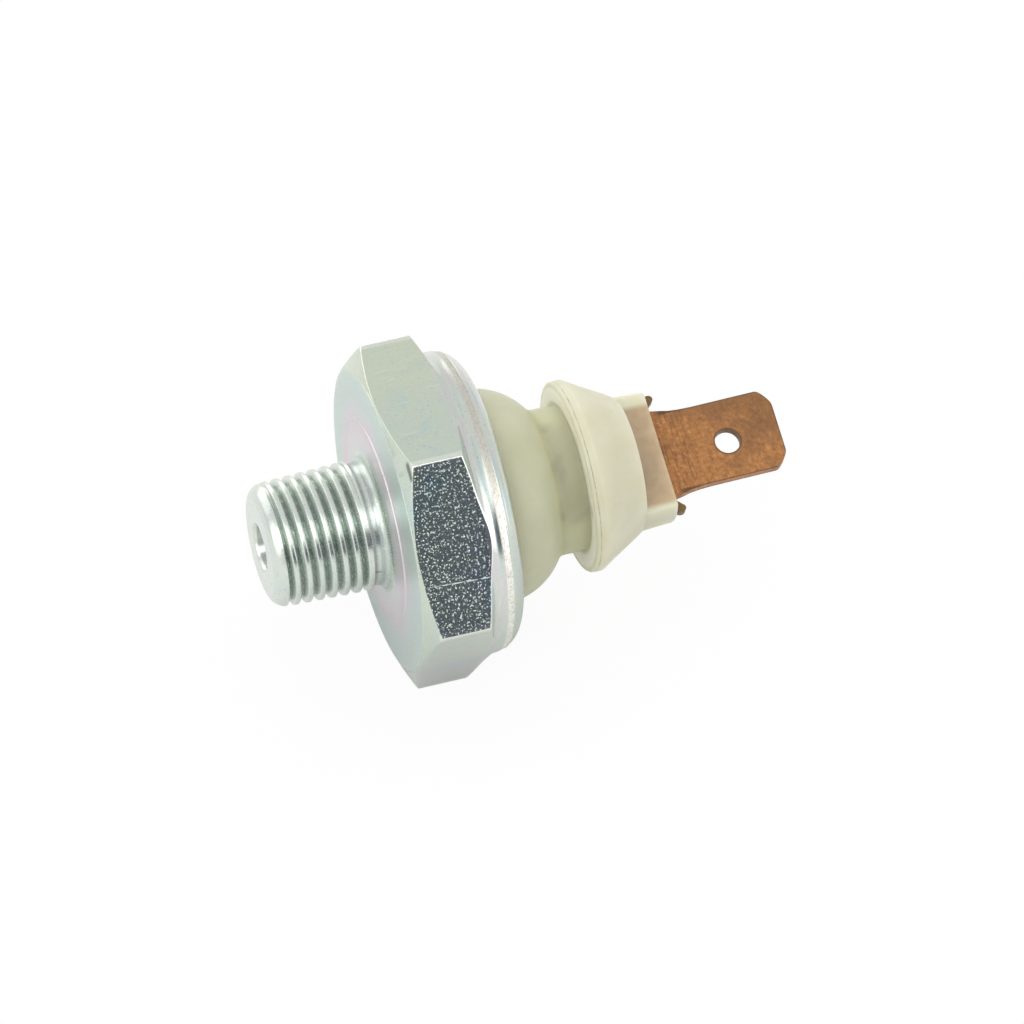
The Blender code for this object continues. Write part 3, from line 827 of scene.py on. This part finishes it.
def zinc_film_and_painted_light(p, zones, pebble):
    """Colours of the film on each surface, with a painted highlight on the washer's edge and painted
    shade on the roll's lower part.
    """
    tint = p.ramp(p.noise(p.at, 0.22, 3.0, 0.6, 0.6), [
        (0.30, (192, 210, 206)),
        (0.45, (204, 214, 199)),
        (0.58, (203, 212, 203)),
        (0.72, (195, 208, 212)),
    ])
    tint = p.cover(tint, (214, 218, 190), p.between(p.y, 1.0, 20.0, 2.0), 0.3)
    tint = p.cover(tint, (200, 192, 196), p.between(p.z, -20.0, -7.0, 2.0), 0.4)
    tint = p.cover(tint, (222, 228, 224), zones["stub"], 0.5)
    stripes = p.ramp(p.noise(p.only(p.x, 3.0), 1.0, 2.0), [(0.40, 0.15), (0.56, 1.0)])
    tint = p.cover(tint, (136, 150, 152), zones["neck"], stripes, 0.55)
    # Rings on the front face, and a painted highlight on the edge of the washer's ring
    wavy = p.math("ADD", p.radius, p.math("MULTIPLY", p.noise(p.at, 0.30, 2.0), 2.4))
    rings = p.ramp(p.math("MULTIPLY", wavy, 1 / 16), [
        (0.42, (216, 220, 222)),
        (0.50, (224, 214, 220)),
        (0.57, (216, 204, 212)),
        (0.64, (206, 210, 212)),
        (0.70, (197, 211, 207)),
        (0.84, (202, 215, 210)),
    ])
    tint = p.cover(tint, rings, zones["front"], 0.85)
    # Painted highlight along the washer's edge, only on its upper near side
    washer_edge_highlight = p.between(p.radius, WASHER_RADIUS - 0.03, WASHER_RADIUS + 0.07, 0.03)
    highlight_side = p.all_of(p.between(p.y, -20.0, 1.5, 1.5), p.between(p.z, 4.6, 20.0, 1.5))
    tint = p.cover(tint, (246, 246, 244), zones["front"], washer_edge_highlight, highlight_side, 0.9)
    # Collar, its roll and the roughened band between them
    shades = p.ramp(p.noise(p.stretch(p.at, 1.6, 0.18, 0.18), 1.0, 2.0, 0.5), [
        (0.32, (192, 206, 214)),
        (0.46, (212, 218, 206)),
        (0.56, (214, 206, 212)),
        (0.68, (198, 214, 200)),
    ])
    tint = p.cover(tint, shades, zones["collar"], 0.7)
    # Painted shade: the roll is darker on its lower part
    tint = p.cover(tint, (184, 198, 188), zones["roll"], p.between(p.z, -20.0, 5.0, 3.0), 0.6)
    pebbles = p.ramp(pebble, [
        (0.30, (184, 175, 158)),
        (0.42, (228, 226, 216)),
        (0.60, (242, 242, 236)),
    ])
    tint = p.cover(tint, pebbles, zones["rough_band"])
    return p.cover(tint, (168, 164, 148), zones["rough_band"], p.between(p.z, 7.0, 20.0, 2.5), 0.5)


def zinc_shade_and_wear(p, zones, tint):
    """Painted shade in the thread's valleys and inside the port, then marks, specks, scratches and worn
    corners over the film.
    """
    # Painted shade deep in the thread's valleys
    crest = p.math("ADD", p.math("MULTIPLY", p.x, CREST_TAPER), CREST_RADIUS - THREAD_START * CREST_TAPER)
    valley_shade = p.ramp(p.math("SUBTRACT", crest, p.radius), [(0.20, 0.0), (0.50, 1.0)])
    tint = p.cover(tint, (140, 152, 146), zones["valleys"], valley_shade, 0.72)
    # Painted shade inside the port
    tint = p.cover(tint, (96, 102, 98), zones["port"], 0.5)
    # The nick at the thread's run-out and the mark at one corner
    slanted = p.math("ADD", p.z, p.math("MULTIPLY", p.x, 0.25))
    nick = p.all_of(p.between(p.x, -4.55, -3.98, 0.05), p.between(slanted, -1.71, -1.60, 0.04))
    nick = p.all_of(nick, zones["near_side"])
    facing = p.math("DIVIDE", p.along(p.at, outward(MARK_ANGLE)), p.radius)
    mark = p.all_of(p.between(p.x, -2.28, -2.12, 0.05), p.between(facing, 0.9985, 2.0, 0.0008))
    tint = p.cover(tint, (72, 84, 74), p.math("MAXIMUM", nick, mark), 0.75)
    # Specks, scratches and corners
    speck = p.ramp(p.noise(p.at, 5.0, 2.0, 0.5), [(0.62, 0.0), (0.70, 1.0)])
    tint = p.cover(tint, (140, 142, 132), speck, 0.28)
    scratch = p.noise(p.stretch(p.at, 0.25, 2.2, 2.2), 1.0, 3.0, 0.6, 0.2)
    tint = p.cover(tint, (228, 232, 228), p.ramp(scratch, [(0.655, 0.0), (0.67, 1.0)]), 0.25)
    return p.cover(tint, (232, 234, 226), p.between(p.radius, 13.62, 15.0, 0.05), 0.6)


def zinc_relief(p, zones, fine, pebble):
    """Separate grains on the flats, one long scratch, and faint turning marks elsewhere."""
    grains = p.ramp(p.noise(p.at, 7.0, 1.0, 0.5), [(0.62, 0.0), (0.76, 1.0)])
    grainy = p.between(p.along(p.at, outward(DARK_FLAT_ANGLE)), 11.8, 12.2, 0.1)
    coarse = p.math("ADD", p.math("MULTIPLY", grainy, 1 - PLAIN_FLAT_SHARE), PLAIN_FLAT_SHARE)
    share = p.math("ADD", p.all_of(zones["flats"], coarse, GRAIN_ON_FLATS), GRAIN_ELSEWHERE)
    height = p.math("MULTIPLY", grains, share)
    turned = p.noise(p.stretch(p.at, 14.0, 0.15, 0.15), 1.0, 2.0, 0.5)
    lines = p.noise(p.only(p.radius, 9.0), 1.0, 2.0)
    on_band = p.math("MULTIPLY", pebble, zones["rough_band"])
    for relief, more in ((fine, 0.05), (on_band, 0.6), (lines, 0.03), (turned, 0.03)):
        height = p.math("ADD", height, p.math("MULTIPLY", relief, more))
    up_flat = p.along(p.at, outward(DARK_FLAT_ANGLE + math.pi / 2))
    scored = p.math("ADD", up_flat, p.math("MULTIPLY", p.x, 0.05))
    score = p.all_of(zones["flats"], p.between(scored, -2.80, -2.76, 0.03), zones["near_side"])
    uneven = p.ramp(p.noise(p.at, 1.4, 2.0), [(0.42, 0.25), (0.60, 1.0)])
    return p.math("SUBTRACT", height, p.all_of(score, uneven, 0.22))


def zinc():
    """Zinc plating with a passivated, faintly iridescent film."""
    p = Paint("zinc_plated_steel")
    zones = housing_zones(p)
    pebble = p.noise(p.at, 4.5, 3.0, 0.7)
    fine = p.noise(p.at, 6.0, 4.0, 0.65)
    tint = zinc_shade_and_wear(p, zones, zinc_film_and_painted_light(p, zones, pebble))
    rough = p.ramp(fine, [(0.3, 0.20), (0.7, 0.32)])
    rougher = {"rough_band": 0.15, "flats": -0.09, "front": 0.12, "stub": -0.02, "collar": -0.05}
    for name, more in rougher.items():
        rough = p.math("ADD", rough, p.math("MULTIPLY", zones[name], more))
    metallic = p.math("SUBTRACT", 0.93, p.math("MULTIPLY", zones["front"], 0.30))
    relief = p.bump(zinc_relief(p, zones, fine, pebble), ZINC_RELIEF)
    p.set(Base_Color=tint, Metallic=metallic, Roughness=rough, Normal=relief)
    return p.made


def nylon():
    """Natural nylon, slightly translucent, with the strip showing through the block."""
    p = Paint("natural_nylon")
    cloud = p.noise(p.at, 0.35, 3.0, 0.5)
    tint = p.ramp(cloud, [(0.3, (183, 184, 155)), (0.7, (191, 191, 165))])
    whiter = p.ramp(cloud, [(0.3, (201, 199, 173)), (0.7, (210, 207, 187))])
    tint = p.cover(tint, whiter, p.between(p.x, 12.35, 20.0, 0.2))
    # Painted shade of the strip's tongue through both sides of the neck, between yellower borders
    on_neck = p.between(p.radius, 5.0, 6.6, 0.3)
    tint = p.cover(tint, (200, 199, 150), p.between(p.x, 9.4, 12.6, 0.7), on_neck, 0.4)
    # Painted light: the skirt's front face is made lighter
    lit_skirt_face = p.all_of(p.between(p.x, 12.38, 12.58, 0.06), p.between(p.radius, 6.0, 7.1, 0.2))
    tint = p.cover(tint, (240, 240, 232), lit_skirt_face, 0.8)
    # Painted shade where the tongue lies behind the neck's wall, with darker blotches
    uneven = p.math("ADD", p.x, p.math("MULTIPLY", p.noise(p.at, 0.5, 2.0), 1.2))
    facing = p.math("ABSOLUTE", p.math("DIVIDE", p.along(p.at, outward(SHADE_ANGLE)), p.radius))
    behind = p.between(facing, 0.76, 2.0, 0.10)
    hollow = p.all_of(p.between(uneven, 10.75, 12.9, 0.45), on_neck, behind)
    tint = p.cover(tint, (162, 157, 136), hollow, 0.5)
    shade_blotch = p.ramp(p.noise(p.at, 0.45, 1.0), [(0.50, 0.0), (0.66, 1.0)])
    tint = p.cover(tint, (128, 126, 112), hollow, shade_blotch, 0.5)
    # Painted shade in the crease where the dome meets the lip
    lip_crease_shade = p.all_of(p.between(p.x, 5.2, 5.85, 0.08), p.between(p.radius, 8.2, 8.8, 0.1))
    tint = p.cover(tint, (110, 110, 84), lip_crease_shade, 0.6)
    # Copper seen through both flats of the block
    turned = p.on_blade(p.at)
    across = p.split(turned)[1]
    window = p.all_of(p.between(p.x, 17.32, 19.95, 0.14), p.between(across, -4.5, 3.8, 0.30))
    patch = p.noise(turned, 0.8, 3.0, 0.5)
    patch = p.ramp(patch, [(0.3, (164, 137, 106)), (0.7, (182, 156, 125))])
    tint = p.cover(tint, patch, window, 0.85)
    # Parting line with its dots of dirt
    wavy = p.math("ADD", p.x, p.math("MULTIPLY", p.noise(p.at, 1.1, 2.0), 0.10))
    line = p.all_of(p.between(wavy, 12.79, 12.83, 0.025), p.between(p.radius, 7.3, 7.7, 0.1))
    dots = p.ramp(p.noise(p.at, 1.3, 4.0, 0.75), [(0.42, 0.3), (0.60, 1.0)])
    tint = p.cover(tint, (112, 102, 76), line, dots, 0.95)
    smear = p.noise(p.stretch(p.at, 0.6, 1.0, 1.0), 0.9, 4.0, 0.6, 0.5)
    tint = p.cover(tint, (160, 156, 136), p.ramp(smear, [(0.60, 0.0), (0.75, 1.0)]), 0.12)
    fine = p.noise(p.at, 4.0, 3.0, 0.6)
    rough = p.ramp(fine, [(0.3, 0.36), (0.7, 0.50)])
    p.set(Base_Color=tint, Roughness=rough, Normal=p.bump(fine, SOFT_RELIEF, 0.6), IOR=1.5)
    p.set(Subsurface_Weight=0.9, Subsurface_Radius=NYLON_SCATTER, Subsurface_Scale=1.0)
    return p.made


def copper():
    """Tarnished strip: mottled, streaked across near its root, darker at its edges."""
    p = Paint("tarnished_copper")
    flat = p.on_blade(p.at)
    x, straight, h = p.split(flat)
    past = p.math("MAXIMUM", p.math("SUBTRACT", x, LEAN_START), 0.0)
    w = p.math("SUBTRACT", straight, p.math("MULTIPLY", past, LEAN))
    from_middle = p.math("ABSOLUTE", w)
    mottle = p.noise(flat, 2.6, 5.0, 0.7)
    tint = p.ramp(mottle, [
        (0.30, (134, 93, 54)),
        (0.45, (166, 116, 70)),
        (0.58, (184, 127, 77)),
        (0.74, (208, 154, 100)),
    ])
    # Broad darker stains, mostly towards one corner of the tip
    stain = p.noise(flat, 0.42, 3.0, 0.55)
    corner = p.math("ADD", p.math("MULTIPLY", x, 0.030), p.math("MULTIPLY", w, 0.030))
    stain = p.math("ADD", stain, p.math("SUBTRACT", corner, 0.72))
    tint = p.cover(tint, (118, 86, 60), p.ramp(stain, [(0.46, 0.0), (0.68, 1.0)]), 0.55)
    # Fine streaks from side to side, stronger near the root
    streak = p.noise(p.stretch(flat, 7.0, 0.7, 0.7), 1.0, 4.0, 0.65)
    streak = p.ramp(streak, [(0.46, 0.0), (0.62, 1.0)])
    near_root = p.between(x, 19.0, 22.6, 1.2)
    share = p.math("ADD", p.math("MULTIPLY", near_root, 0.35), 0.14)
    tint = p.cover(tint, (104, 66, 38), streak, share)
    scratch = p.noise(p.stretch(flat, 0.5, 5.0, 5.0), 1.0, 3.0, 0.6)
    scratch = p.ramp(scratch, [(0.66, 0.0), (0.69, 1.0)])
    tint = p.cover(tint, (226, 186, 140), scratch, near_root, 0.5)
    # Dark edges, hole rim and lugs
    rim = p.length(p.math("SUBTRACT", x, HOLE_PLACE[0]), p.math("SUBTRACT", straight, HOLE_PLACE[1]))
    rim = p.between(rim, 0.0, HOLE_RADIUS + 0.12, 0.07)
    side = p.all_of(
        p.between(from_middle, BLADE_HALF - 0.06, 6.0, 0.07),
        p.between(x, 20.6, 30.0, 0.2),
        p.between(p.math("ABSOLUTE", h), 0.30, 1.0, 0.04),
    )
    tip = p.between(x, BLADE_TIP - 0.08, 31.0, 0.06)
    tint = p.cover(tint, (84, 60, 44), p.math("MAXIMUM", p.math("MAXIMUM", rim, side), tip), 0.75)
    lug = p.all_of(p.between(from_middle, 3.75, 6.0, 0.15), p.between(x, 19.8, 21.0, 0.1))
    tint = p.cover(tint, (104, 90, 56), lug, 0.8)
    rough = p.ramp(mottle, [(0.3, 0.50), (0.7, 0.36)])
    height = p.math("ADD", mottle, p.math("MULTIPLY", streak, 0.5))
    p.set(Base_Color=tint, Metallic=0.6, Roughness=rough, Normal=p.bump(height, SOFT_RELIEF, 0.6))
    return p.made


# Materials of the inner pieces: name, two colours, roughness, metallic value, grain
SPRING_WIRE = ("spring_wire", (150, 150, 148), (190, 190, 186), 0.35, 1.0, 3.0)
INNER = {
    "sealing_ring": ("seal_rubber", (34, 34, 34), (52, 52, 50), 0.7, 0.0, 2.0),
    "diaphragm": ("diaphragm_film", (170, 110, 40), (190, 130, 60), 0.35, 0.0, 0.8),
    "contact_ring": ("contact_brass", (190, 160, 95), (215, 188, 120), 0.35, 1.0, 1.5),
    "moving_contact": ("moving_contact_brass", (190, 160, 95), (215, 188, 120), 0.3, 1.0, 1.5),
    "plunger": ("plunger_resin", (54, 48, 42), (72, 64, 56), 0.5, 0.0, 1.2),
    "spring_seat": ("seat_steel", (96, 98, 98), (128, 130, 128), 0.45, 1.0, 2.0),
}


def hidden(name, low, high, roughness, metallic, scale):
    """Material of a piece inside the sender."""
    p = Paint(name, on_axis=False)
    cloud = p.noise(p.at, scale, 4.0, 0.6)
    tint = p.ramp(cloud, [(0.3, low), (0.7, high)])
    relief = p.bump(cloud, SOFT_RELIEF, 0.5)
    p.set(Base_Color=tint, Metallic=metallic, Roughness=roughness, Normal=relief)
    return p.made


def dress(piece, finish):
    """Give a piece one material."""
    piece.data.materials.clear()
    piece.data.materials.append(finish)


housing = housing_skin()
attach(housing, "sender")
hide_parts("housing")
dress(housing, zinc())

cap = cap_skin()
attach(cap, "sender")
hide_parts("cap")
dress(cap, nylon())

terminal = terminal_skin()
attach(terminal, "sender")
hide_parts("terminal")
dress(terminal, copper())

coil = spring_skin()
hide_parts("spring")
dress(coil, hidden(*SPRING_WIRE))

for node, finish in INNER.items():
    dress(frame["nodes"][node], hidden(*finish))


# Floor, light and camera


FLOOR_REACH = 3.0
FLOOR_DROP = 0.00002
FLOOR_SEEN_WHITE = 0.94
FLOOR_MIRRORED_WHITE = 0.12


def floor():
    """Pale floor that shows as white and keeps a soft shadow."""
    mesh = bpy.data.meshes.new("floor")
    corners = [(x * FLOOR_REACH, y * FLOOR_REACH, 0) for x, y in ((-1, -1), (1, -1), (1, 1), (-1, 1))]
    mesh.from_pydata(corners, [], [(0, 1, 2, 3)])
    piece = scene_object("floor", mesh, (0, 0, -FLOOR_DROP))
    p = Paint("floor_paper")
    cloud = p.noise(p.at, 0.01, 2.0)
    p.set(Base_Color=p.ramp(cloud, [(0.3, 0.84), (0.7, 0.86)]), Roughness=0.9)
    glow = p.node("ShaderNodeEmission")
    path = p.tree.nodes.new("ShaderNodeLightPath")
    mirrored = p.math("MAXIMUM", path.outputs["Is Glossy Ray"], path.outputs["Is Transmission Ray"])
    seen = p.math("MULTIPLY", path.outputs["Is Camera Ray"], FLOOR_SEEN_WHITE)
    share = p.math("MAXIMUM", seen, p.math("MULTIPLY", mirrored, FLOOR_MIRRORED_WHITE))
    joined = p.tree.nodes.new("ShaderNodeMixShader")
    p.put(joined.inputs[0], share)
    p.put(joined.inputs[1], p.shader.outputs[0])
    p.put(joined.inputs[2], glow.outputs[0])
    p.put(p.tree.nodes["Material Output"].inputs["Surface"], joined.outputs[0])
    mesh.materials.append(p.made)


# Places in the room as (direction, start and end of the fade as cosines, added strength)
ROOM_LIGHTS = [
    ((0.195, -0.573, 0.796), 0.925, 0.980, 0.9),
    ((-0.80, -0.30, 0.50), 0.86, 0.96, 1.0),
    ((-0.15, 0.98, 0.10), 0.86, 0.95, 1.1),
    ((-0.55, 0.66, 0.51), 0.90, 0.97, 0.5),
    ((0.80, -0.58, 0.20), 0.86, 0.96, 0.9),
]
DARK_PLACE = (0.195, -0.95, 0.242)
DARK_FADE = (0.905, 0.98)
DARK_COLOUR = (0.045, 0.06, 0.105, 1)
ROOM_MIRRORED = 0.84
ROOM_DIFFUSE = 0.60
ABOVE = ((0.1, 0.35, 0.93), 0.50, 0.95, 1.05)


def world():
    """White room with soft boxes and a darker place in front, as behind a photographer."""
    made = bpy.data.worlds.new("room")
    bpy.context.scene.world = made
    made.use_nodes = True
    tree = made.node_tree
    back = tree.nodes["Background"]
    coordinate = tree.nodes.new("ShaderNodeTexCoord")

    def toward(direction, start, end):
        """Share of a direction of view that lies near one direction."""
        dot = tree.nodes.new("ShaderNodeVectorMath")
        dot.operation = "DOT_PRODUCT"
        tree.links.new(coordinate.outputs["Generated"], dot.inputs[0])
        dot.inputs[1].default_value = Vector(direction).normalized()
        fade = tree.nodes.new("ShaderNodeMapRange")
        fade.interpolation_type = "SMOOTHSTEP"
        tree.links.new(dot.outputs["Value"], fade.inputs["Value"])
        fade.inputs["From Min"].default_value = start
        fade.inputs["From Max"].default_value = end
        return fade.outputs[0]

    def combine(kind, share, a, b):
        """Colour a with a share of colour b, mixed in one way."""
        pick = tree.nodes.new("ShaderNodeMix")
        pick.data_type = "RGBA"
        pick.blend_type = kind
        for socket, value in zip((pick.inputs[0], pick.inputs[6], pick.inputs[7]), (share, a, b)):
            if isinstance(value, bpy.types.NodeSocket):
                tree.links.new(value, socket)
            else:
                socket.default_value = value
        return pick.outputs[2]

    def brighten(base, light):
        """Add one light of the room to a colour."""
        direction, start, end, strength = light
        return combine("ADD", toward(direction, start, end), base, grey(strength))

    mirrored = grey(ROOM_MIRRORED)
    for light in ROOM_LIGHTS:
        mirrored = brighten(mirrored, light)
    mirrored = combine("MIX", toward(DARK_PLACE, *DARK_FADE), mirrored, DARK_COLOUR)
    path = tree.nodes.new("ShaderNodeLightPath")
    diffuse = brighten(grey(ROOM_DIFFUSE), ABOVE)
    room = combine("MIX", path.outputs["Is Glossy Ray"], diffuse, mirrored)
    room = combine("MIX", path.outputs["Is Camera Ray"], room, (1, 1, 1, 1))
    tree.links.new(room, back.inputs["Color"])


# Lamps as name: place, size and watts
LAMPS = {
    "key": ((-0.24, -0.32, 0.47), 0.30, 0.65),
    "fill": ((0.46, -0.38, 0.17), 0.25, 0.35),
}
LAMP_AIM = Vector((0, 0, 0.01))


def lamp(name, place, size, watts):
    """Soft square lamp that looks at the sender."""
    data = bpy.data.lights.new(name, "AREA")
    data.size = size
    data.energy = watts
    made = scene_object(name, data, place)
    made.rotation_euler = (LAMP_AIM - Vector(place)).to_track_quat("-Z", "Y").to_euler()


AZIMUTH = math.radians(-15.9)
ELEVATION = math.radians(44.6)
ROLL = math.radians(-1.46)
DISTANCE = 0.8
PIXELS_PER_MM = 13.03
HEX_IN_IMAGE = (413.6, 512.7)
IMAGE_SIZE = 1024
SENSOR = 36.0


def camera():
    """Long lens, from the front and above."""
    back = Vector((
        math.sin(AZIMUTH) * math.cos(ELEVATION),
        -math.cos(AZIMUTH) * math.cos(ELEVATION),
        math.sin(ELEVATION),
    ))
    right = Vector((math.cos(AZIMUTH), math.sin(AZIMUTH), 0))
    up = back.cross(right)
    across = right * math.cos(ROLL) + up * math.sin(ROLL)
    upright = up * math.cos(ROLL) - right * math.sin(ROLL)
    place = AXIS_POINT + back * DISTANCE
    offset_x = (IMAGE_SIZE / 2 - HEX_IN_IMAGE[0]) / PIXELS_PER_MM
    offset_y = (HEX_IN_IMAGE[1] - IMAGE_SIZE / 2) / PIXELS_PER_MM
    target = AXIS_POINT + (across * offset_x + upright * offset_y) * MM
    toward = (place - target).normalized()
    side = (across - toward * across.dot(toward)).normalized()
    data = bpy.data.cameras.new("camera")
    data.sensor_width = SENSOR
    data.lens = SENSOR * PIXELS_PER_MM * DISTANCE / MM / IMAGE_SIZE
    data.clip_start = 0.01
    data.clip_end = 20.0
    made = scene_object("camera", data)
    axes = Matrix((side, toward.cross(side), toward)).transposed()
    made.matrix_world = Matrix.Translation(place) @ axes.to_4x4()
    bpy.context.scene.camera = made


floor()
world()
for lamp_name, values in LAMPS.items():
    lamp(lamp_name, *values)
camera()
bpy.context.scene.view_settings.view_transform = "Standard"
